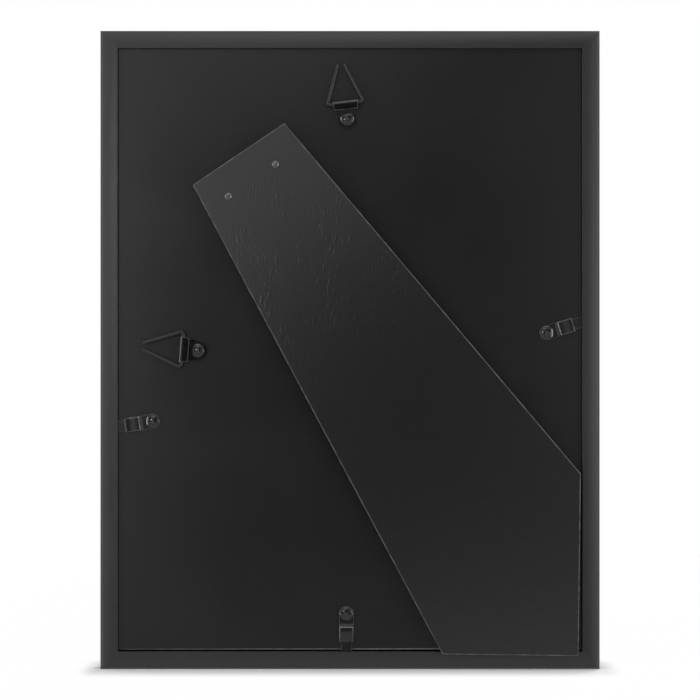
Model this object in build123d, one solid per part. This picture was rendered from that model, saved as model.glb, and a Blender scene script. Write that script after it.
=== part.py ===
from build123d import *
import os
from math import atan2, cos, degrees, hypot, radians, sin, tan

# Easel back photo frame for a letter size sheet, in millimetres and degrees.
# The frame is drawn lying on its face, as it looks from behind: X to the right, Y towards the
# top of the picture and Z out of the back. Z = 0 is the front of the moulding and X = Y = 0 is
# the middle of the frame. The last section stands it up on its bottom edge.

# Sheet, glass and boards that fill the rabbet
sheet_width = 215.9
sheet_height = 279.4
sheet_thickness = 0.3
side_allowance = 1.1
end_allowance = 2.6
stack_gap = 0.7
glass_thickness = 2.0
filler_thickness = 2.0
board_thickness = 3.0
board_gap = 0.1
board_foot_gap = 0.9
facing_thickness = 0.4
facing_arris = 0.2
facing_trim_left = 0.3
facing_trim_right = 0.8

# Moulding
back_width = 8.35
lip_overlap = 6.0
lip_thickness = 8.0
crown_drop = 1.6
outer_arris = 1.8
inner_arris = 0.25
front_arris = 1.6
sight_arris = 0.6
bevel_run = 4.5
bevel_drop = 2.5
kerf_height = 1.2
kerf_below_face = 0.2
kerf_clearance = 0.5

# Corner nails, an angle strip across each mitre
nail_inset = 2.2
nail_leg = 5.0
nail_thickness = 0.6
nail_height = 6.0
nail_cover = 0.8

# Rivets: head, shank and clinched tail, with a round pip on the head
head_rim_share = 0.25
pip_radius_share = 0.22
pip_rise_share = 0.4
shank_clearance = 0.05
tail_clearance = 0.1

# Hinge of the strut, in two leaves with a pin
hinge_width = 38.0
leaf_length = 13.5
leaf_thickness = 0.6
leaf_corner = 2.0
pin_radius = 0.5
pin_clearance = 0.05
pin_overhang = 0.3
knuckle_radius = 1.05
knuckle_clearance = 0.1
knuckle_gap = 0.2
knuckle_shares = (0.0, 0.32, 0.68, 1.0)
notch_gap = 0.3
hinge_offset = -1.7
stop_angle = 30.0
stop_clearance = 0.3

# Strut: it runs from its narrow end, up on the left, to its foot in the lower right corner
strut_thickness = 2.2
strut_facing_thickness = 0.3
strut_facing_inset = 0.5
strut_dimple_radius = 3.3
strut_dimple_depth = 0.12
strut_narrow_width = 51.6
strut_taper = 6.1
strut_corner = 0.8
strut_top_shares = (-0.2396, 0.3241)
foot_inset = 1.2
foot_overhang = 2.4
foot_turn = 0.7
strut_rail_clearance = 0.3

# Rivets of the two hinge leaves
leaf_rivet_distance = 9.6
strut_rivet_spacing = 26.6
strut_head_radius = 1.8
strut_head_height = 1.1
plate_rivet_spacing = 13.0
plate_head_radius = 2.0
plate_head_height = 0.6
leaf_shank_radius = 1.0
leaf_tail_radius = 1.7
leaf_tail_height = 0.6

# Hangers: a strap on a rivet, rolled over at one end, and a triangular ring of wire in the roll
strap_reach = 7.2
strap_thickness = 0.7
strap_eye_radius = 4.7
strap_width = 11.6
strap_flap_run = 2.9
strap_flap_drop = 0.3
strap_clearance = 0.1
wire_radius = 0.9
wire_clearance = 0.08
ring_base = 17.2
ring_height = 18.2
ring_apex_spacing = 3.3
ring_bend_radius = 1.3
hanger_head_radius = 3.1
hanger_head_height = 1.2
hanger_shank_radius = 1.5
hanger_tail_radius = 2.5
hanger_tail_height = 1.0
top_hanger_setback = 32.9
top_hanger_share = -0.006
top_hanger_lean = 6.5
side_hanger_setback = 37.3
side_hanger_share = -0.001
side_hanger_lean = -4.5

# Turn clips: a round eye, a pressed finger pad and a flat tongue that bites in the kerf
clip_thickness = 0.6
clip_clearance = 0.1
clip_eye_radius = 3.5
clip_length = 19.4
clip_tongue_width = 5.0
clip_tongue_corner = 1.0
pad_start = 4.2
pad_rise_end = 6.3
pad_crest_end = 8.2
pad_end = 13.2
pad_width = 6.8
pad_height = 1.7
pad_end_height = 1.1
pad_rounding = 0.6
clip_head_radius = 3.2
clip_head_height = 1.2
left_clip_bite = 3.1
left_clip_share = -0.118
left_clip_turn = 9.0
right_clip_bite = 2.8
right_clip_share = 0.0284
right_clip_turn = 17.4
bottom_clip_bite = 1.6
bottom_clip_share = -0.0078
bottom_clip_turn = 0.0

# Outlines that follow from the sizes
rabbet_width = sheet_width + side_allowance
rabbet_height = sheet_height + end_allowance
pane_width = rabbet_width - 2 * stack_gap
pane_height = rabbet_height - 2 * stack_gap
board_width = rabbet_width - 2 * board_gap
board_top = rabbet_height / 2 - board_gap
board_foot = board_foot_gap - rabbet_height / 2
moulding_width = back_width + lip_overlap
frame_width = rabbet_width + 2 * back_width
frame_height = rabbet_height + 2 * back_width

# Heights from the front of the moulding
sheet_floor = lip_thickness + glass_thickness
filler_floor = sheet_floor + sheet_thickness
board_floor = filler_floor + filler_thickness
facing_floor = board_floor + board_thickness
back_face = facing_floor + facing_thickness
hinge_rise = knuckle_radius + knuckle_clearance
strut_lift = 2 * hinge_rise
moulding_depth = back_face + strut_lift - strut_rail_clearance

# The tongue's corner reaches furthest while a clip turns, and the kerf is deep enough for it
tongue_sweep = hypot(clip_length, clip_tongue_width / 2)
deepest_bite = max(left_clip_bite, right_clip_bite, bottom_clip_bite)
kerf_depth = deepest_bite + tongue_sweep - clip_length + kerf_clearance
kerf_floor = back_face - kerf_below_face
kerf_roof = kerf_floor + kerf_height

# The narrow end of the strut butts on the panel at the stop angle, and that sets the hinge's place
stop_reach = hinge_rise * (1 + cos(radians(stop_angle))) / sin(radians(stop_angle))
hinge_inset = stop_reach - stop_clearance

# Ring and strap heights over the panel
curl_radius = wire_radius + wire_clearance + strap_thickness
curl_rise = strap_clearance + curl_radius
strap_top = strap_clearance + strap_thickness
clip_top = clip_clearance + clip_thickness


def crossing(point, angle, other, other_angle):
    """The point where two lines meet, each given by a point and a direction."""
    dx = other[0] - point[0]
    dy = other[1] - point[1]
    along = (cos(radians(angle)), sin(radians(angle)))
    across = (cos(radians(other_angle)), sin(radians(other_angle)))
    step = (dx * across[1] - dy * across[0]) / (along[0] * across[1] - along[1] * across[0])
    return (point[0] + step * along[0], point[1] + step * along[1])


def turned(point, angle):
    """A point turned about the origin."""
    c = cos(radians(angle))
    s = sin(radians(angle))
    return (point[0] * c - point[1] * s, point[0] * s + point[1] * c)


# Places of the strut, from its narrow end to the corner of its foot
strut_top = (strut_top_shares[0] * rabbet_width, strut_top_shares[1] * rabbet_height)
foot_corner = (pane_width / 2 - foot_inset, -pane_height / 2 - foot_overhang)
strut_angle = degrees(atan2(foot_corner[1] - strut_top[1], foot_corner[0] - strut_top[0]))
axis_step = turned((hinge_inset, hinge_offset), strut_angle)
hinge_middle = (strut_top[0] + axis_step[0], strut_top[1] + axis_step[1])
hinge_place = Pos(hinge_middle[0], hinge_middle[1], back_face + hinge_rise) * Rot(0, 0, strut_angle)

# Places and pointing directions of the hangers and the clips
top_hanger = (top_hanger_share * rabbet_width, rabbet_height / 2 - top_hanger_setback)
top_hanger_angle = 90 + top_hanger_lean
side_hanger = (-rabbet_width / 2 + side_hanger_setback, side_hanger_share * rabbet_height)
side_hanger_angle = 180 + side_hanger_lean
left_clip = (-rabbet_width / 2 + clip_length - left_clip_bite, left_clip_share * rabbet_height)
left_clip_angle = 180 + left_clip_turn
right_clip = (rabbet_width / 2 - clip_length + right_clip_bite, right_clip_share * rabbet_height)
right_clip_angle = right_clip_turn
bottom_clip = (bottom_clip_share * rabbet_width, -rabbet_height / 2 + clip_length - bottom_clip_bite)
bottom_clip_angle = -90 + bottom_clip_turn

hangers = {
    "top_hanger": (top_hanger, top_hanger_angle),
    "side_hanger": (side_hanger, side_hanger_angle),
}
clips = {
    "left_clip": (left_clip, left_clip_angle),
    "right_clip": (right_clip, right_clip_angle),
    "bottom_clip": (bottom_clip, bottom_clip_angle),
}


def moulding_profile():
    """Section of the moulding: X inwards from the outer edge, Y from the front to the back."""
    crown_end = (0, moulding_depth - crown_drop)
    crown_start = (back_width, moulding_depth)
    sides = Polyline(
        crown_end,
        (0, 0),
        (moulding_width - bevel_run, 0),
        (moulding_width, bevel_drop),
        (moulding_width, lip_thickness),
        (back_width, lip_thickness),
        (back_width, kerf_floor),
        (back_width - kerf_depth, kerf_floor),
        (back_width - kerf_depth, kerf_roof),
        (back_width, kerf_roof),
        crown_start,
    )
    crown = TangentArc(crown_start, crown_end, tangent=(-1, 0))
    section = make_face([sides, crown])
    roundings = (
        (crown_end, outer_arris),
        (crown_start, inner_arris),
        ((0, 0), front_arris),
        ((moulding_width, bevel_drop), sight_arris),
    )
    for corner, radius in roundings:
        section = fillet(section.vertices().sort_by_distance(corner)[0], radius)
    return section


def rail(length, reach):
    """One rail along X with its outer edge at Y = -reach and a mitre at each end."""
    start = Plane(origin=(-length / 2, -reach, 0), x_dir=(0, 1, 0), z_dir=(1, 0, 0))
    bar = extrude(start * moulding_profile(), amount=length)
    half = length / 2
    mitres = Polyline(
        (-half, -reach),
        (half, -reach),
        (half - moulding_width, moulding_width - reach),
        (moulding_width - half, moulding_width - reach),
        close=True,
    )
    return bar & extrude(make_face(mitres), amount=moulding_depth)


def corner_nails():
    """The nail of each corner, with one leg in each of the two rails that meet there."""
    leg = Polyline(
        (nail_inset, nail_inset),
        (nail_inset + nail_leg, nail_inset),
        (nail_inset + nail_leg, nail_inset + nail_thickness),
        (nail_inset + nail_thickness, nail_inset + nail_thickness),
        (nail_inset + nail_thickness, nail_inset + nail_leg),
        (nail_inset, nail_inset + nail_leg),
        close=True,
    )
    nail_top = moulding_depth - crown_drop - nail_cover
    nail = Pos(0, 0, nail_top - nail_height) * extrude(make_face(leg), amount=nail_height)
    corners = ((-1, -1), (1, -1), (1, 1), (-1, 1))
    nails = []
    for quarter, (side, end) in enumerate(corners):
        corner = Pos(side * frame_width / 2, end * frame_height / 2)
        nails.append(corner * Rot(0, 0, 90 * quarter) * nail)
    return nails


def rivet(head_radius, head_height, shank_radius, grip, tail_radius, tail_height):
    """A rivet on Z: its head stands on Z = 0 and the clinched tail lies under the grip."""
    rim = head_rim_share * head_height
    dome = TangentArc((0, head_height), (head_radius, rim), tangent=(1, 0))
    below = Polyline(
        (head_radius, rim),
        (head_radius, 0),
        (shank_radius, 0),
        (shank_radius, -grip),
        (tail_radius, -grip),
        (tail_radius, -grip - tail_height),
        (0, -grip - tail_height),
        (0, head_height),
    )
    body = revolve(Plane.XZ * make_face([dome, below]), axis=Axis.Z)
    pip_radius = pip_radius_share * head_radius
    pip_top = head_height * (1 + pip_rise_share)
    return body + Pos(0, 0, pip_top - pip_radius) * Sphere(pip_radius)


def sheet(width, height, thickness, floor):
    """A flat pane on the middle of the frame."""
    return extrude(Pos(0, 0, floor) * Rectangle(width, height), amount=thickness)


def panel_outline(floor, left_trim, right_trim):
    """The back panel, which sits high in the rabbet, with its lower edge trimmed by two amounts."""
    half = board_width / 2
    corners = Polyline(
        (-half, board_foot + left_trim),
        (half, board_foot + right_trim),
        (half, board_top),
        (-half, board_top),
        close=True,
    )
    return Pos(0, 0, floor) * make_face(corners)


def drilled(solid, places, radius, floor, height):
    """A solid with round holes of one radius at the places given."""
    for x, y in places:
        bore = extrude(Pos(x, y, floor) * Circle(radius), amount=height)
        solid = solid - bore
    return solid


def leaf_places(spacing):
    """Two rivet places on a hinge leaf, in the middle plane of the frame."""
    places = []
    for side in (-1, 1):
        step = turned((leaf_rivet_distance, side * spacing / 2), strut_angle)
        places.append((hinge_middle[0] + step[0], hinge_middle[1] + step[1]))
    return places


def strut_outline():
    """The strut as seen from behind, from its narrow end to the two edges of its foot."""
    half = turned((0, strut_narrow_width / 2), strut_angle)
    upper = (strut_top[0] + half[0], strut_top[1] + half[1])
    lower = (strut_top[0] - half[0], strut_top[1] - half[1])
    side_end = crossing(upper, strut_angle + strut_taper, foot_corner, 90 - foot_turn)
    base_end = crossing(lower, strut_angle - strut_taper, foot_corner, 180 - foot_turn)
    outline = make_face(Polyline(lower, upper, side_end, foot_corner, base_end, close=True))
    return fillet(outline.vertices(), strut_corner)


def hinge_leaf(own_shares, other_shares):
    """A leaf under the hinge axis, which is Y here: plate, its own knuckles and notches."""
    start = -hinge_width / 2
    plate = Pos(leaf_length / 2, 0) * Rectangle(leaf_length, hinge_width)
    plate = fillet(plate.vertices().group_by(Axis.X)[-1], leaf_corner)
    leaf = extrude(Pos(0, 0, -hinge_rise) * plate, amount=leaf_thickness)
    notch_depth = knuckle_radius + notch_gap
    for low, high in other_shares:
        middle = start + (low + high) / 2 * hinge_width
        breadth = (high - low) * hinge_width + knuckle_gap
        notch = Box(2 * notch_depth, breadth, 2 * hinge_rise)
        leaf = leaf - Pos(0, middle) * notch
    for low, high in own_shares:
        middle = start + (low + high) / 2 * hinge_width
        breadth = (high - low) * hinge_width - knuckle_gap
        leaf = leaf + Pos(0, middle) * Rot(90, 0, 0) * Cylinder(knuckle_radius, breadth)
    bore = Rot(90, 0, 0) * Cylinder(pin_radius + pin_clearance, 2 * hinge_width)
    return leaf - bore


def strap():
    """Strap with its rivet hole at the origin and the roll that holds the ring at the +X end."""
    roll_top = curl_rise + curl_radius
    plate = Polyline(
        (-strap_eye_radius, strap_clearance),
        (strap_reach, strap_clearance),
        (strap_reach, roll_top),
        (strap_reach - strap_flap_run, roll_top - strap_flap_drop),
        (strap_reach - strap_flap_run, strap_top),
        (-strap_eye_radius, strap_top),
        close=True,
    )
    roll = Pos(strap_reach, curl_rise) * Circle(curl_radius)
    bore = Pos(strap_reach, curl_rise) * Circle(wire_radius + wire_clearance)
    side_view = make_face(plate) + roll - bore
    rolled = extrude(Plane.XZ * side_view, amount=strap_width / 2, both=True)
    far = strap_reach + curl_radius
    half = strap_width / 2
    slope = atan2(half - strap_eye_radius, strap_reach)
    touch = (-strap_eye_radius * sin(slope), strap_eye_radius * cos(slope))
    sides = Polyline(
        touch,
        (strap_reach, half),
        (far, half),
        (far, -half),
        (strap_reach, -half),
        (touch[0], -touch[1]),
        close=True,
    )
    plan = make_face(sides) + Circle(strap_eye_radius)
    strip = rolled & extrude(plan, amount=roll_top)
    hole = Circle(hanger_shank_radius + shank_clearance)
    return strip - extrude(hole, amount=roll_top)


def ring():
    """Triangular wire ring, flat, with its bar in the curl and its open apex at the +X end."""
    bend = FilletPolyline(
        (strap_reach + ring_height, ring_apex_spacing / 2),
        (strap_reach, ring_base / 2),
        (strap_reach, -ring_base / 2),
        (strap_reach + ring_height, -ring_apex_spacing / 2),
        radius=ring_bend_radius,
    )
    path = Pos(0, 0, curl_rise) * bend
    section = Plane(origin=path @ 0, z_dir=path % 0) * Circle(wire_radius)
    return sweep(section, path=path)


def pad_block(wall):
    """The pressed pad of a clip along X, or its hollow at a wall thickness in from the outside."""
    near = pad_start + wall
    far = pad_end - wall
    crest = pad_height - wall
    brow = pad_end_height - wall
    ramp = Polyline((pad_crest_end, crest), (pad_rise_end, crest), (near, 0), (far, 0), (far, brow))
    fall = TangentArc((pad_crest_end, crest), (far, brow), tangent=(1, 0))
    return extrude(Plane.XZ * make_face([ramp, fall]), amount=pad_width / 2 - wall, both=True)


def clip():
    """Turn clip with its rivet hole at the origin and its tongue towards +X."""
    tongue = Pos(clip_length / 2, 0) * Rectangle(clip_length, clip_tongue_width)
    tongue = fillet(tongue.vertices().group_by(Axis.X)[-1], clip_tongue_corner)
    arm = Pos(pad_end / 2, 0) * Rectangle(pad_end, pad_width)
    plan = tongue + arm + Circle(clip_eye_radius)
    pad = pad_block(0)
    sides = pad.faces().sort_by(Axis.Y)
    rim = [edge for side in (sides[0], sides[-1]) for edge in side.edges()]
    rim = [edge for edge in rim if edge.center().Z > 0 and edge.center().X < pad_end]
    rim = rim + [pad.faces().sort_by(Axis.X)[-1].edges().sort_by(Axis.Z)[-1]]
    pad = fillet(rim, pad_rounding)
    pressed = extrude(plan, amount=clip_thickness) + pad - pad_block(clip_thickness)
    hole = extrude(Circle(hanger_shank_radius + shank_clearance), amount=clip_thickness)
    return Pos(0, 0, clip_clearance) * (pressed - hole)


def build():
    """Every piece by name, on the bench."""
    pieces = {}

    nails = corner_nails()
    sides = (
        ("bottom_rail", frame_width, frame_height / 2),
        ("right_rail", frame_height, frame_width / 2),
        ("top_rail", frame_width, frame_height / 2),
        ("left_rail", frame_height, frame_width / 2),
    )
    for quarter, (name, length, reach) in enumerate(sides):
        side = Rot(0, 0, 90 * quarter) * rail(length, reach)
        for nail in nails:
            side = side - nail
        pieces[name] = side
    pieces["corner_nails"] = Compound(children=nails)

    pieces["glass_pane"] = sheet(pane_width, pane_height, glass_thickness, lip_thickness)
    pieces["picture_sheet"] = sheet(sheet_width, sheet_height, sheet_thickness, sheet_floor)
    pieces["filler_card"] = sheet(pane_width, pane_height, filler_thickness, filler_floor)

    hung = [place for place, angle in (*hangers.values(), *clips.values())]
    plate_places = leaf_places(plate_rivet_spacing)
    board = extrude(panel_outline(board_floor, 0, 0), amount=board_thickness)
    board = drilled(board, hung, hanger_shank_radius + shank_clearance, board_floor, board_thickness)
    board = drilled(board, hung, hanger_tail_radius + tail_clearance, board_floor, hanger_tail_height)
    board = drilled(board, plate_places, leaf_shank_radius + shank_clearance, board_floor, board_thickness)
    board = drilled(board, plate_places, leaf_tail_radius + tail_clearance, board_floor, leaf_tail_height)
    pieces["back_board"] = board
    trimmed = panel_outline(facing_floor, facing_trim_left, facing_trim_right)
    facing = extrude(trimmed, amount=facing_thickness)
    facing = fillet(facing.faces().sort_by(Axis.Z)[-1].edges(), facing_arris)
    facing = drilled(facing, hung, hanger_shank_radius + shank_clearance, facing_floor, facing_thickness)
    facing = drilled(facing, plate_places, leaf_shank_radius + shank_clearance, facing_floor, facing_thickness)
    pieces["back_facing"] = facing

    strut_floor = back_face + strut_lift
    strut_skin = strut_floor + strut_thickness
    strut_places = leaf_places(strut_rivet_spacing)
    strut_bore = leaf_shank_radius + shank_clearance
    strut = extrude(Pos(0, 0, strut_floor) * strut_outline(), amount=strut_thickness)
    pieces["strut_board"] = drilled(strut, strut_places, strut_bore, strut_floor, strut_thickness)
    trimmed = offset(strut_outline(), -strut_facing_inset, kind=Kind.INTERSECTION)
    cover = extrude(Pos(0, 0, strut_skin) * trimmed, amount=strut_facing_thickness)
    cover = drilled(cover, strut_places, strut_bore, strut_skin, strut_facing_thickness)
    strut_head = strut_skin + strut_facing_thickness - strut_dimple_depth
    cover = drilled(cover, strut_places, strut_dimple_radius, strut_head, strut_dimple_depth)
    pieces["strut_facing"] = cover

    outer_knuckles = (knuckle_shares[0:2], knuckle_shares[2:4])
    inner_knuckles = (knuckle_shares[1:3],)
    plate = hinge_place * hinge_leaf(outer_knuckles, inner_knuckles)
    flap = hinge_place * mirror(hinge_leaf(inner_knuckles, outer_knuckles), about=Plane.XY)
    plate_floor = back_face
    flap_floor = strut_floor - leaf_thickness
    pieces["hinge_plate"] = drilled(plate, plate_places, strut_bore, plate_floor, leaf_thickness)
    pieces["hinge_flap"] = drilled(flap, strut_places, strut_bore, flap_floor, leaf_thickness)
    pin = Rot(90, 0, 0) * Cylinder(pin_radius, hinge_width + 2 * pin_overhang)
    pieces["hinge_pin"] = hinge_place * pin

    plate_head = back_face + leaf_thickness
    plate_grip = plate_head - board_floor - leaf_tail_height
    plate_rivet = rivet(
        plate_head_radius,
        plate_head_height,
        leaf_shank_radius,
        plate_grip,
        leaf_tail_radius,
        leaf_tail_height,
    )
    pieces["plate_rivets"] = Compound(children=[Pos(x, y, plate_head) * plate_rivet for x, y in plate_places])
    strut_rivet = rivet(
        strut_head_radius,
        strut_head_height,
        leaf_shank_radius,
        strut_head - flap_floor,
        leaf_tail_radius,
        leaf_tail_height,
    )
    pieces["strut_rivets"] = Compound(children=[Pos(x, y, strut_head) * strut_rivet for x, y in strut_places])

    tail_seat = board_floor + hanger_tail_height
    for name, ((x, y), angle) in hangers.items():
        place = Pos(x, y, back_face) * Rot(0, 0, angle)
        head = back_face + strap_top + strap_clearance
        pieces[name + "_strap"] = place * strap()
        pieces[name + "_ring"] = place * ring()
        pieces[name + "_rivet"] = Pos(x, y, head) * rivet(
            hanger_head_radius,
            hanger_head_height,
            hanger_shank_radius,
            head - tail_seat,
            hanger_tail_radius,
            hanger_tail_height,
        )

    for name, ((x, y), angle) in clips.items():
        place = Pos(x, y, back_face) * Rot(0, 0, angle)
        head = back_face + clip_top + clip_clearance
        pieces[name] = place * clip()
        pieces[name + "_rivet"] = Pos(x, y, head) * rivet(
            clip_head_radius,
            clip_head_height,
            hanger_shank_radius,
            head - tail_seat,
            hanger_tail_radius,
            hanger_tail_height,
        )
    return pieces


# Standing up: the bottom edge lies on Z = 0, the back looks along +Y and the top is up
bench = Plane(
    origin=(0, -moulding_depth / 2, frame_height / 2),
    x_dir=(-1, 0, 0),
    z_dir=(0, 1, 0),
)


def main():
    os.makedirs("parts", exist_ok=True)
    for name, piece in build().items():
        export_step(bench.location * piece, "parts/" + name + ".step")


if __name__ == "__main__":
    main()
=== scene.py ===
from math import pi

import bpy
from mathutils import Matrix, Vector


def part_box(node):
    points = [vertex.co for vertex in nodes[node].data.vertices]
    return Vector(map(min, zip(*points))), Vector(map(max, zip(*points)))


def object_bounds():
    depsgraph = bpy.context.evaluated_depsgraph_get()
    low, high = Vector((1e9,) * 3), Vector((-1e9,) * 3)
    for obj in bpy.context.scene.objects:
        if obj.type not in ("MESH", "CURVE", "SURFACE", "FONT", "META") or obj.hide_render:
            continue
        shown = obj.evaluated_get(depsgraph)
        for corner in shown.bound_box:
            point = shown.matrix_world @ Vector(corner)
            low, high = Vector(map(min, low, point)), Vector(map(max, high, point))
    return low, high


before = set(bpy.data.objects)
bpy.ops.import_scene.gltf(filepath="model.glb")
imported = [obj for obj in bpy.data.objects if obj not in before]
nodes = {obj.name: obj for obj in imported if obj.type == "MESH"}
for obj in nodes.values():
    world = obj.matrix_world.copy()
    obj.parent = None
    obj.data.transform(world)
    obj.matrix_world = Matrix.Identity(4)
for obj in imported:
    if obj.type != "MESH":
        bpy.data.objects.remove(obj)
cad_low, cad_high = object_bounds()

# Easel back photo frame, seen square from behind. Lengths are in metres, and colours are linear.
# X runs to the right as seen from the front, Y out of the back and Z up from the bottom edge.
# A pattern's scale is its number of features to the metre, and a stretch has a factor for each axis.

# Camera: the frame takes up this much of the square picture, under a long lens
picture_pixels = 700
frame_pixels = 500.3
lens_mm = 150.0
sensor_mm = 36.0

# What the finishes share. Most of a noise lies in its middle. An arris begins to show where its
# rounded normal leans from the flat one by the first cosine, and shows fully from the second
white = (1.0, 1.0, 1.0, 1.0)
dye_coolness = 1.03
noise_middle = (0.3, 0.7)
arris_cosines = (0.995, 0.85)
bevel_samples = 4

# Satin paint on the moulding, over the grain of the wood
paint_levels = (0.007, 0.01)
paint_roughness = (0.36, 0.42)
paint_shine = 0.42
paint_grain = {"scale": 2400.0, "detail": 4.0, "roughness": 0.6}
paint_grain_stretch = 0.04
paint_relief = {"strength": 0.12, "depth": 0.00006}
paint_cloud = {"scale": 60.0}
paint_arris_radius = 0.0003
paint_worn_radius = 0.0004
paint_scuff = {"scale": 350.0}
paint_scuff_range = (0.45, 0.7)
paint_scuff_level = 0.045

# Smooth facing paper on the panel
paper_levels = (0.007, 0.009)
paper_roughness = (0.25, 0.29)
paper_shine = 0.33
paper_fibre = {"scale": 1800.0, "detail": 4.0, "roughness": 0.65}
paper_relief = {"strength": 0.06, "depth": 0.00005}
paper_cloud = {"scale": 25.0}
paper_cloud_range = (0.2, 0.8)
paper_worn_radius = 0.0004
paper_worn_level = 0.04

# Leatherette on the strut, with the weight of each pattern in its relief
# The leatherette is painted darker in the valleys between pebbles than on their tops: painted shade in
# the grain's hollows
leather_valley_shade_levels = (0.003, 0.004)
leather_roughness = (0.315, 0.29)
leather_shine = 0.5
leather_relief = {"strength": 0.35, "depth": 0.00012}
pebble_scale = 800.0
pebble_stretch = (1.0, 1.0, 0.5)
pebble_rim = 0.28
pebble_weight = 0.12
wander_scale = 500.0
wander_detail = 2.0
wander_reach = 0.0011
wrinkle = {"scale": 1100.0, "detail": 3.0, "roughness": 0.6}
wrinkle_stretch = (1.0, 1.0, 0.4)
wrinkle_weight = 1.0
swell = {"scale": 120.0}
swell_weight = 1.2
crease = {"scale": 800.0, "detail": 2.0, "roughness": 0.6}
crease_stretch = (1.0, 1.0, 0.3)
crease_range = (0.52, 0.7)
crease_weight = 0.85
cluster = {"scale": 70.0, "detail": 2.0}
cluster_range = (0.42, 0.6)

# The strut is bowed a little along its axis, which only its sheen shows. Creases gather towards the
# hinge: along the axis they begin at the first place, and are full from the second
strut_axis = (0.46, 0.0, 0.89)
strut_bow_middle = 0.044
strut_bow = 0.27
crease_places = (0.1, 0.18)

# Boards, whose layers and specks show on the cut edges, each dark to pale
strut_core_levels = (0.05, 0.115)
hardboard_levels = (0.11, 0.2)
filler_colours = ((0.13, 0.11, 0.09, 1.0), (0.22, 0.19, 0.16, 1.0))
board_layers = {"scale": 250.0, "detail": 4.0, "roughness": 0.6}
board_layer_stretch = (1.0, 40.0, 1.0)
board_specks = {"scale": 900.0, "detail": 3.0, "roughness": 0.7}
board_speck_base = 0.5
board_mottle_range = (0.4, 0.65)
board_roughness = 0.8
board_relief = {"strength": 0.3, "depth": 0.0001}

# Lacquer on the small steel pieces. Where arrises stand proud of the panel they are painted paler, part
# wear where the lacquer rubs thin and part painted highlight along the edges: this goes from its first
# share to its second between these heights
lacquers = {
    "hanger_steel": {
        "level": 0.005, "roughness": 0.14, "shine": 0.42, "coat": 0.1,
        "rub_and_highlight_radius": 0.0003, "rub_and_highlight_level": 0.25,
    },
    "ring_steel": {
        "level": 0.005, "roughness": 0.34, "shine": 0.4, "coat": 0.0,
        "rub_and_highlight_radius": 0.00025, "rub_and_highlight_level": 0.2,
    },
    "clip_steel": {
        "level": 0.011, "roughness": 0.15, "shine": 0.28, "coat": 0.0,
        "rub_and_highlight_radius": 0.0006, "rub_and_highlight_level": 0.75,
    },
    "rivet_steel": {
        "level": 0.005, "roughness": 0.1, "shine": 0.3, "coat": 0.2,
        "rub_and_highlight_radius": 0.0002, "rub_and_highlight_level": 0.25,
    },
    "strut_rivet_steel": {
        "level": 0.005, "roughness": 0.1, "shine": 0.7, "coat": 0.4,
        "rub_and_highlight_radius": 0.0001, "rub_and_highlight_level": 0.25,
    },
}
lacquer_roughness_spread = (-0.04, 0.06)
lacquer_coat_roughness = 0.06
lacquer_peel = {"scale": 1500.0, "detail": 2.0}
lacquer_relief = {"strength": 0.15, "depth": 0.00004}
lacquer_arris_radius = 0.0002
lacquer_cloud = {"scale": 300.0}
rub_and_highlight_range = (0.25, 0.45)
rub_and_highlight_heights = (0.0009, 0.0015)
rub_and_highlight_shares = (0.12, 1.0)

# Zinc plating on the hidden steel pieces
hinge_steel_level = 0.5
nail_steel_level = 0.6
plating_dark_share = 0.8
plating_roughness = (0.3, 0.45)
plating_brush = {"scale": 3000.0, "detail": 3.0, "roughness": 0.6}
plating_brush_stretch = (1.0, 1.0, 0.05)
plating_relief = {"strength": 0.1, "depth": 0.00003}

# Glass
glass_tint = (0.97, 0.99, 0.98, 1.0)
glass_roughness = 0.02

# Print: a sky, and hills from far to near. Heights are shares of the sheet's height
sky_height_shares = (0.45, 1.0)
horizon_colour = (0.83, 0.72, 0.58, 1.0)
zenith_colour = (0.25, 0.42, 0.62, 1.0)
hills = (
    {"height_share": 0.52, "swing_share": 0.16, "ridges": 3.0, "tint": (0.36, 0.45, 0.52, 1.0)},
    {"height_share": 0.42, "swing_share": 0.14, "ridges": 4.0, "tint": (0.2, 0.31, 0.36, 1.0)},
    {"height_share": 0.31, "swing_share": 0.12, "ridges": 5.0, "tint": (0.1, 0.19, 0.19, 1.0)},
    {"height_share": 0.18, "swing_share": 0.1, "ridges": 7.0, "tint": (0.035, 0.08, 0.06, 1.0)},
)
hill_shift = 10.0
hill_detail = 5.0
hill_edge_share = 0.001
print_tooth = {"scale": 1500.0}
print_roughness = (0.4, 0.5)

# Floor: its white glow grows from where the frame stands on it, and again further away, so the floor is
# darker round the frame: a painted contact shade, over the real shadow that the lit floor shows there
floor_reach = 6.0
floor_colour = (0.9, 0.9, 0.9, 1.0)
floor_roughness = 0.9
floor_shine = 0.1
contact_glow = 0.0
near_glow = 0.985
far_glow = 1.0
contact_reach = 0.034
fade_reaches = (0.35, 0.9)
fade_stretch = (3.0, 1.0, 1.0)

# Dark card behind the camera, which only reflections show
card_distance = 1.7
card_half_width = 1.3
card_above = 1.1
card_below = 0.36
card_colour = (0.01, 0.01, 0.01, 1.0)

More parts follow.
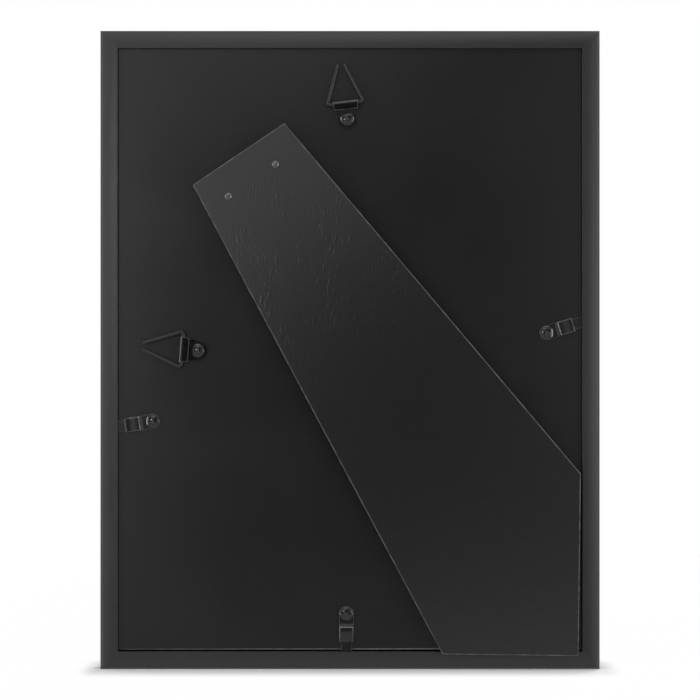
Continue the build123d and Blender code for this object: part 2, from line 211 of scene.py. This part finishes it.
# Light of the room, and lamps: place from the middle of the frame, size and brightness
room_light = 0.38
lamps = {
    "key": {"place": (0.2, 0.54, 0.0), "size": (0.12, 0.34), "radiance": 1.25},
    "spark": {"place": (0.28, 0.55, 0.1), "size": (0.06, 0.06), "radiance": 29.0},
    "top_soft": {"place": (0.1, 0.52, 0.3), "size": (0.3, 0.3), "radiance": 1.12},
    "fill": {"place": (-0.22, 0.54, 0.08), "size": (0.16, 0.3), "radiance": 0.8},
    "left_soft": {"place": (0.42, 0.42, 0.0), "size": (0.2, 0.2), "radiance": 0.25},
    "right_soft": {"place": (-0.42, 0.42, 0.0), "size": (0.2, 0.2), "radiance": 1.5},
    "top_back": {"place": (0.0, 0.42, 0.42), "size": (0.2, 0.2), "radiance": 0.5},
    "left_strip": {"place": (0.52, 0.3, 0.0), "size": (0.06, 0.6), "radiance": 11.0},
    "right_strip": {"place": (-0.52, 0.3, 0.0), "size": (0.06, 0.6), "radiance": 11.0},
    "top_strip": {"place": (0.0, 0.3, 0.52), "size": (0.6, 0.06), "radiance": 6.0},
    "front_key": {"place": (-0.5, -0.9, 0.55), "size": (0.5, 0.5), "radiance": 8.0},
    "front_fill": {"place": (0.8, -0.7, 0.15), "size": (0.5, 0.5), "radiance": 2.5},
}

# These lamps show only as highlights, and light no surface
highlight_lamps = ("spark",)


def fill(tree, made, inputs):
    """Sets a node's inputs by name or number, each to a value or by a link from a socket."""
    for name, value in inputs.items():
        if isinstance(value, bpy.types.NodeSocket):
            tree.links.new(value, made.inputs[name])
        else:
            made.inputs[name].default_value = value


def node(tree, kind, inputs=None, **settings):
    """A new shader node."""
    made = tree.nodes.new("ShaderNode" + kind)
    for name, value in settings.items():
        setattr(made, name, value)
    fill(tree, made, inputs or {})
    return made


def calculate(tree, operation, first, second):
    """The result of one sum on two numbers."""
    return node(tree, "Math", {0: first, 1: second}, operation=operation).outputs[0]


def calculate_vector(tree, operation, *vectors):
    """The result of one sum on vectors."""
    made = node(tree, "VectorMath", dict(enumerate(vectors)), operation=operation)
    gives_number = operation in ("DOT_PRODUCT", "LENGTH")
    return made.outputs["Value" if gives_number else "Vector"]


def remap(tree, value, old, new=(0.0, 1.0), smooth=False):
    """A number carried from an old range to a new one, and held inside it."""
    inputs = {"Value": value, "From Min": old[0], "From Max": old[1], "To Min": new[0], "To Max": new[1]}
    kind = "SMOOTHSTEP" if smooth else "LINEAR"
    return node(tree, "MapRange", inputs, interpolation_type=kind).outputs[0]


def blend(tree, share, first, second):
    """A colour between two others."""
    made = node(tree, "Mix", {0: share}, data_type="RGBA")
    places = [place for place, socket in enumerate(made.inputs) if socket.type == "RGBA"]
    fill(tree, made, dict(zip(places, (first, second))))
    return [socket for socket in made.outputs if socket.type == "RGBA"][0]


def grey(level):
    """A neutral colour, a touch cool as black dye is."""
    return (level, level, level * dye_coolness, 1.0)


def blend_greys(tree, share, levels):
    """A grey between two levels."""
    return blend(tree, share, grey(levels[0]), grey(levels[1]))


def surface_place(tree, stretch=(1.0, 1.0, 1.0)):
    """The place on the piece at rest, in metres, stretched along each axis."""
    place = node(tree, "TexCoord").outputs["Object"]
    return node(tree, "Mapping", {"Vector": place, "Scale": stretch}).outputs[0]


def noise(tree, place, scale, detail=3.0, roughness=0.5):
    """Cloudy noise from 0 to 1."""
    inputs = {"Vector": place, "Scale": scale, "Detail": detail, "Roughness": roughness}
    return node(tree, "TexNoise", inputs).outputs[0]


def rounded_normal(tree, radius):
    """The surface's normal, rounded off at the arrises."""
    return node(tree, "Bevel", {"Radius": radius}, samples=bevel_samples).outputs[0]


def arris_share(tree, radius):
    """Nearly 0 on open faces and up to 1 on arrises, within a radius of them."""
    flat = node(tree, "NewGeometry").outputs["Normal"]
    cosine = calculate_vector(tree, "DOT_PRODUCT", rounded_normal(tree, radius), flat)
    return remap(tree, cosine, arris_cosines)


def relief(tree, height, strength, depth, normal=None):
    """The normal of a surface that a pattern of heights bumps, over another normal if one is given."""
    inputs = {"Height": height, "Strength": strength, "Distance": depth}
    if normal is not None:
        inputs["Normal"] = normal
    return node(tree, "Bump", inputs).outputs[0]


def new_material(name):
    """A node material, its tree and its main shader."""
    material = bpy.data.materials.new(name)
    material.use_nodes = True
    tree = material.node_tree
    return material, tree, tree.nodes["Principled BSDF"]


def satin_paint(name, along):
    """Satin black paint over wood, with the grain showing faintly along one axis."""
    material, tree, shader = new_material(name)
    stretch = [paint_grain_stretch if axis == along else 1.0 for axis in "XYZ"]
    grain = noise(tree, surface_place(tree, stretch), **paint_grain)
    place = surface_place(tree)
    cloud = noise(tree, place, **paint_cloud)
    patches = remap(tree, noise(tree, place, **paint_scuff), paint_scuff_range)
    scuff = calculate(tree, "MULTIPLY", arris_share(tree, paint_worn_radius), patches)
    paint = blend_greys(tree, remap(tree, grain, noise_middle), paint_levels)
    fill(tree, shader, {
        "Base Color": blend(tree, scuff, paint, grey(paint_scuff_level)),
        "Roughness": remap(tree, cloud, noise_middle, paint_roughness),
        "Specular IOR Level": paint_shine,
        "Normal": relief(tree, grain, **paint_relief, normal=rounded_normal(tree, paint_arris_radius)),
    })
    return material


def black_paper(name):
    """Smooth black facing paper with short fibres and faint clouds in its sheen."""
    material, tree, shader = new_material(name)
    place = surface_place(tree)
    fibre = noise(tree, place, **paper_fibre)
    cloud = noise(tree, place, **paper_cloud)
    paper = blend_greys(tree, remap(tree, fibre, noise_middle), paper_levels)
    worn = arris_share(tree, paper_worn_radius)
    fill(tree, shader, {
        "Base Color": blend(tree, worn, paper, grey(paper_worn_level)),
        "Roughness": remap(tree, cloud, paper_cloud_range, paper_roughness, smooth=True),
        "Specular IOR Level": paper_shine,
        "Normal": relief(tree, fibre, **paper_relief),
    })
    return material


def pebbles(tree, place):
    """Rounded pebbles, 0 in the valleys between them and 1 on top."""
    inputs = {"Vector": place, "Scale": wander_scale, "Detail": wander_detail}
    wander = node(tree, "TexNoise", inputs).outputs["Color"]
    shift = calculate_vector(tree, "MULTIPLY", wander, (wander_reach, wander_reach, wander_reach))
    bent = calculate_vector(tree, "ADD", place, shift)
    bent = node(tree, "Mapping", {"Vector": bent, "Scale": pebble_stretch}).outputs[0]
    cells = node(tree, "TexVoronoi", {"Vector": bent, "Scale": pebble_scale}, feature="DISTANCE_TO_EDGE")
    return remap(tree, cells.outputs["Distance"], (0.0, pebble_rim), smooth=True)


def creases(tree, place, along):
    """Upright creases in clusters, which thin out away from the hinge."""
    lines = noise(tree, surface_place(tree, crease_stretch), **crease)
    lines = remap(tree, lines, crease_range, smooth=True)
    clusters = remap(tree, noise(tree, place, **cluster), cluster_range, smooth=True)
    near_hinge = remap(tree, along, crease_places, smooth=True)
    return calculate(tree, "MULTIPLY", lines, calculate(tree, "MULTIPLY", clusters, near_hinge))


def bowed_normal(tree, along):
    """The normal of the strut, bowed along its axis."""
    away = calculate(tree, "SUBTRACT", along, strut_bow_middle)
    square = calculate(tree, "MULTIPLY", away, away)
    return relief(tree, calculate(tree, "MULTIPLY", square, -strut_bow), strength=1.0, depth=1.0)


def leatherette(name):
    """Black embossed paper: fine pebbles and wrinkles, with creases."""
    material, tree, shader = new_material(name)
    place = surface_place(tree)
    along = calculate_vector(tree, "DOT_PRODUCT", place, strut_axis)
    pebble = pebbles(tree, place)
    patterns = (
        (noise(tree, surface_place(tree, wrinkle_stretch), **wrinkle), wrinkle_weight),
        (noise(tree, place, **swell), swell_weight),
        (creases(tree, place, along), crease_weight),
    )
    height = calculate(tree, "MULTIPLY", pebble, pebble_weight)
    for pattern, weight in patterns:
        height = calculate(tree, "ADD", height, calculate(tree, "MULTIPLY", pattern, weight))
    fill(tree, shader, {
        # Darker pebble valleys: painted shade in the grain's hollows
        "Base Color": blend_greys(tree, pebble, leather_valley_shade_levels),
        "Roughness": remap(tree, pebble, (0.0, 1.0), leather_roughness),
        "Specular IOR Level": leather_shine,
        "Normal": relief(tree, height, **leather_relief, normal=bowed_normal(tree, along)),
    })
    return material


def cut_board(name, dark, pale):
    """Board with its pressed layers showing on the cut edges."""
    material, tree, shader = new_material(name)
    layers = noise(tree, surface_place(tree, board_layer_stretch), **board_layers)
    specks = noise(tree, surface_place(tree), **board_specks)
    mottle = calculate(tree, "MULTIPLY", layers, calculate(tree, "ADD", specks, board_speck_base))
    fill(tree, shader, {
        "Base Color": blend(tree, remap(tree, mottle, board_mottle_range), dark, pale),
        "Roughness": board_roughness,
        "Normal": relief(tree, mottle, **board_relief),
    })
    return material


def black_lacquer(name, level, roughness, shine, coat, rub_and_highlight_radius, rub_and_highlight_level):
    """Glossy black lacquer on pressed steel, painted paler along the arrises: part wear where it rubs
    thin, part painted highlight.
    """
    material, tree, shader = new_material(name)
    place = surface_place(tree)
    peel = noise(tree, place, **lacquer_peel)
    cloud = noise(tree, place, **lacquer_cloud)
    panel_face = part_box("back_facing")[1].y
    out = node(tree, "SeparateXYZ", {0: place}).outputs["Y"]
    proud = remap(tree, calculate(tree, "SUBTRACT", out, panel_face), rub_and_highlight_heights, rub_and_highlight_shares)
    patches = calculate(tree, "MULTIPLY", proud, remap(tree, cloud, rub_and_highlight_range))
    # Paler arrises: part worn lacquer, part painted highlight along the edges
    rub_and_highlight = calculate(tree, "MULTIPLY", arris_share(tree, rub_and_highlight_radius), patches)
    roughness_range = [roughness + change for change in lacquer_roughness_spread]
    fill(tree, shader, {
        "Base Color": blend_greys(tree, rub_and_highlight, (level, rub_and_highlight_level)),
        "Roughness": remap(tree, cloud, noise_middle, roughness_range),
        "Specular IOR Level": shine,
        "Coat Weight": coat,
        "Coat Roughness": lacquer_coat_roughness,
        "Normal": relief(tree, peel, **lacquer_relief, normal=rounded_normal(tree, lacquer_arris_radius)),
    })
    return material


def plated_steel(name, level):
    """Zinc plated sheet steel, faintly brushed."""
    material, tree, shader = new_material(name)
    brushed = noise(tree, surface_place(tree, plating_brush_stretch), **plating_brush)
    fill(tree, shader, {
        "Base Color": blend_greys(tree, brushed, (level * plating_dark_share, level)),
        "Roughness": remap(tree, brushed, noise_middle, plating_roughness),
        "Metallic": 1.0,
        "Normal": relief(tree, brushed, **plating_relief),
    })
    return material


def picture_glass(name):
    """Clear glass that lets the lamps through to the picture behind it."""
    material, tree, shader = new_material(name)
    fill(tree, shader, {
        "Base Color": glass_tint,
        "Roughness": glass_roughness,
        "Transmission Weight": 1.0,
    })
    rays = node(tree, "LightPath").outputs
    lit = calculate(tree, "MAXIMUM", rays["Is Shadow Ray"], rays["Is Diffuse Ray"])
    clear = node(tree, "BsdfTransparent", {"Color": glass_tint})
    mixed = node(tree, "MixShader", {0: lit, 1: shader.outputs[0], 2: clear.outputs[0]})
    tree.links.new(mixed.outputs[0], tree.nodes["Material Output"].inputs["Surface"])
    return material


def printed_picture(name):
    """A generic print: a pale sky over ranges of hills."""
    material, tree, shader = new_material(name)
    low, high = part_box("picture_sheet")
    size = high - low
    from_corner = calculate_vector(tree, "SUBTRACT", node(tree, "TexCoord").outputs["Object"], low)
    unit = (1.0 / size.x, 1.0, 1.0 / size.z)
    shares = node(tree, "Mapping", {"Vector": from_corner, "Scale": unit}).outputs[0]
    axes = node(tree, "SeparateXYZ", {0: shares}).outputs
    colour = blend(tree, remap(tree, axes["Z"], sky_height_shares), horizon_colour, zenith_colour)
    for number, hill in enumerate(hills):
        along = calculate(tree, "MULTIPLY", axes["X"], hill["ridges"])
        along = calculate(tree, "ADD", along, hill_shift * number)
        inputs = {"W": along, "Scale": 1.0, "Detail": hill_detail}
        ridge = node(tree, "TexNoise", inputs, noise_dimensions="1D")
        heights = [hill["height_share"] + side * hill["swing_share"] for side in (-1, 1)]
        level = remap(tree, ridge.outputs[0], (0.0, 1.0), heights)
        below = calculate(tree, "SUBTRACT", level, axes["Z"])
        inside = remap(tree, below, (-hill_edge_share, hill_edge_share))
        colour = blend(tree, inside, colour, hill["tint"])
    tooth = noise(tree, surface_place(tree), **print_tooth)
    fill(tree, shader, {
        "Base Color": colour,
        "Roughness": remap(tree, tooth, noise_middle, print_roughness),
    })
    return material


def dress(material, *names):
    """Gives one finish to some CAD nodes."""
    for name in names:
        nodes[name].data.materials.clear()
        nodes[name].data.materials.append(material)


def dress_frame():
    """Gives every CAD node its finish."""
    dress(satin_paint("moulding_across", "X"), "top_rail", "bottom_rail")
    dress(satin_paint("moulding_upright", "Z"), "left_rail", "right_rail")
    dress(black_paper("black_paper"), "back_facing")
    dress(leatherette("leatherette"), "strut_facing")
    dress(cut_board("strut_core", *map(grey, strut_core_levels)), "strut_board")
    dress(cut_board("hardboard", *map(grey, hardboard_levels)), "back_board")
    dress(cut_board("filler", *filler_colours), "filler_card")
    dress(picture_glass("glass"), "glass_pane")
    dress(printed_picture("picture_paper"), "picture_sheet")
    hinge = ("hinge_plate", "hinge_flap", "hinge_pin", "plate_rivets")
    dress(plated_steel("hinge_steel", hinge_steel_level), *hinge)
    dress(plated_steel("nail_steel", nail_steel_level), "corner_nails")
    hangers = ("top_hanger", "side_hanger")
    clips = ("left_clip", "right_clip", "bottom_clip")
    lacquered = {
        "hanger_steel": [name + "_strap" for name in hangers],
        "ring_steel": [name + "_ring" for name in hangers],
        "clip_steel": clips,
        "rivet_steel": [name + "_rivet" for name in hangers + clips],
        "strut_rivet_steel": ["strut_rivets"],
    }
    for name, pieces in lacquered.items():
        dress(black_lacquer(name, **lacquers[name]), *pieces)


def aim(thing, target):
    """Points a lamp, card or camera at a place."""
    direction = target - thing.location
    thing.rotation_euler = direction.to_track_quat("-Z", "Y").to_euler()


def add(name, data):
    """A new object in the scene."""
    thing = bpy.data.objects.new(name, data)
    bpy.context.scene.collection.objects.link(thing)
    return thing


def flat_sheet(name, half_width, half_height):
    """A rectangle across its own Z axis."""
    turns = ((-1, -1), (1, -1), (1, 1), (-1, 1))
    corners = [(across * half_width, up * half_height, 0.0) for across, up in turns]
    mesh = bpy.data.meshes.new(name)
    mesh.from_pydata(corners, [], [range(len(corners))])
    return add(name, mesh)


def seen_share(tree):
    """1 for what the camera, a mirror or glass shows, and 0 for light that falls on things."""
    rays = node(tree, "LightPath").outputs
    mirrored = calculate(tree, "MAXIMUM", rays["Is Glossy Ray"], rays["Is Transmission Ray"])
    return calculate(tree, "MAXIMUM", rays["Is Camera Ray"], mirrored)


def light_room():
    """Surroundings that look white and light the frame softly."""
    world = bpy.data.worlds.new("studio")
    bpy.context.scene.world = world
    world.use_nodes = True
    tree = world.node_tree
    lit = tree.nodes["Background"]
    fill(tree, lit, {"Color": white, "Strength": room_light})
    shown = node(tree, "Background", {"Color": white, "Strength": 1.0})
    mixed = node(tree, "MixShader", {0: seen_share(tree), 1: lit.outputs[0], 2: shown.outputs[0]})
    tree.links.new(mixed.outputs[0], tree.nodes["World Output"].inputs["Surface"])


def hang_lamps(middle):
    """Soft lamps round the frame, all aimed at its middle."""
    for name, lamp in lamps.items():
        data = bpy.data.lights.new(name, "AREA")
        data.shape = "RECTANGLE"
        data.size, data.size_y = lamp["size"]
        data.energy = lamp["radiance"] * data.size * data.size_y * pi
        made = add(name, data)
        made.location = middle + Vector(lamp["place"])
        made.visible_camera = False
        made.visible_transmission = False
        made.visible_diffuse = name not in highlight_lamps
        aim(made, middle)


def stand_card(middle):
    """A dark card behind the camera for the back of the frame to reflect."""
    card = flat_sheet("dark_card", card_half_width, (card_above + card_below) / 2)
    material, tree, shader = new_material("dark_card")
    fill(tree, shader, {"Base Color": card_colour, "Roughness": 1.0, "Specular IOR Level": 0.0})
    card.data.materials.append(material)
    card.location = middle + Vector((0.0, card_distance, (card_above - card_below) / 2))
    aim(card, card.location - Vector((0.0, card_distance, 0.0)))
    card.visible_camera = False
    card.visible_diffuse = False
    card.visible_transmission = False
    card.visible_shadow = False


def lay_floor():
    """A pale floor that fades into the white room. Round the frame its glow is taken away, which paints a
    contact shade, and the real shadow shows in the lit floor there.
    """
    floor = flat_sheet("floor", floor_reach, floor_reach)
    material, tree, shader = new_material("floor")
    fill(tree, shader, {
        "Base Color": floor_colour,
        "Roughness": floor_roughness,
        "Specular IOR Level": floor_shine,
    })
    half = ((cad_high.x - cad_low.x) / 2, (cad_high.y - cad_low.y) / 2, 1.0)
    away = calculate_vector(tree, "ABSOLUTE", node(tree, "TexCoord").outputs["Object"])
    away = calculate_vector(tree, "SUBTRACT", away, half)
    away = calculate_vector(tree, "MAXIMUM", away, (0.0, 0.0, 0.0))
    reach = calculate_vector(tree, "LENGTH", calculate_vector(tree, "MULTIPLY", away, fade_stretch))
    # Less glow near the frame: a painted contact shade round its footprint
    contact = remap(tree, reach, (0.0, contact_reach), (near_glow - contact_glow, 0.0), smooth=True)
    glow = remap(tree, reach, fade_reaches, (near_glow, far_glow), smooth=True)
    glow = calculate(tree, "SUBTRACT", glow, contact)
    glow = calculate(tree, "MULTIPLY", glow, seen_share(tree))
    glowing = node(tree, "Emission", {"Color": white, "Strength": 1.0})
    mixed = node(tree, "MixShader", {0: glow, 1: shader.outputs[0], 2: glowing.outputs[0]})
    tree.links.new(mixed.outputs[0], tree.nodes["Material Output"].inputs["Surface"])
    floor.data.materials.append(material)
    floor.visible_glossy = False


def place_camera(middle):
    """A long lens, square to the back of the frame."""
    data = bpy.data.cameras.new("camera")
    data.lens = lens_mm
    data.sensor_width = sensor_mm
    camera = add("camera", data)
    picture_width = (cad_high.x - cad_low.x) * picture_pixels / frame_pixels
    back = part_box("top_rail")[1].y
    camera.location = middle + Vector((0.0, back + picture_width * lens_mm / sensor_mm, 0.0))
    aim(camera, middle)
    bpy.context.scene.camera = camera


def main():
    bpy.context.scene.view_settings.view_transform = "Standard"
    middle = Vector((0.0, 0.0, (cad_low.z + cad_high.z) / 2))
    dress_frame()
    light_room()
    hang_lamps(middle)
    stand_card(middle)
    lay_floor()
    place_camera(middle)


main()
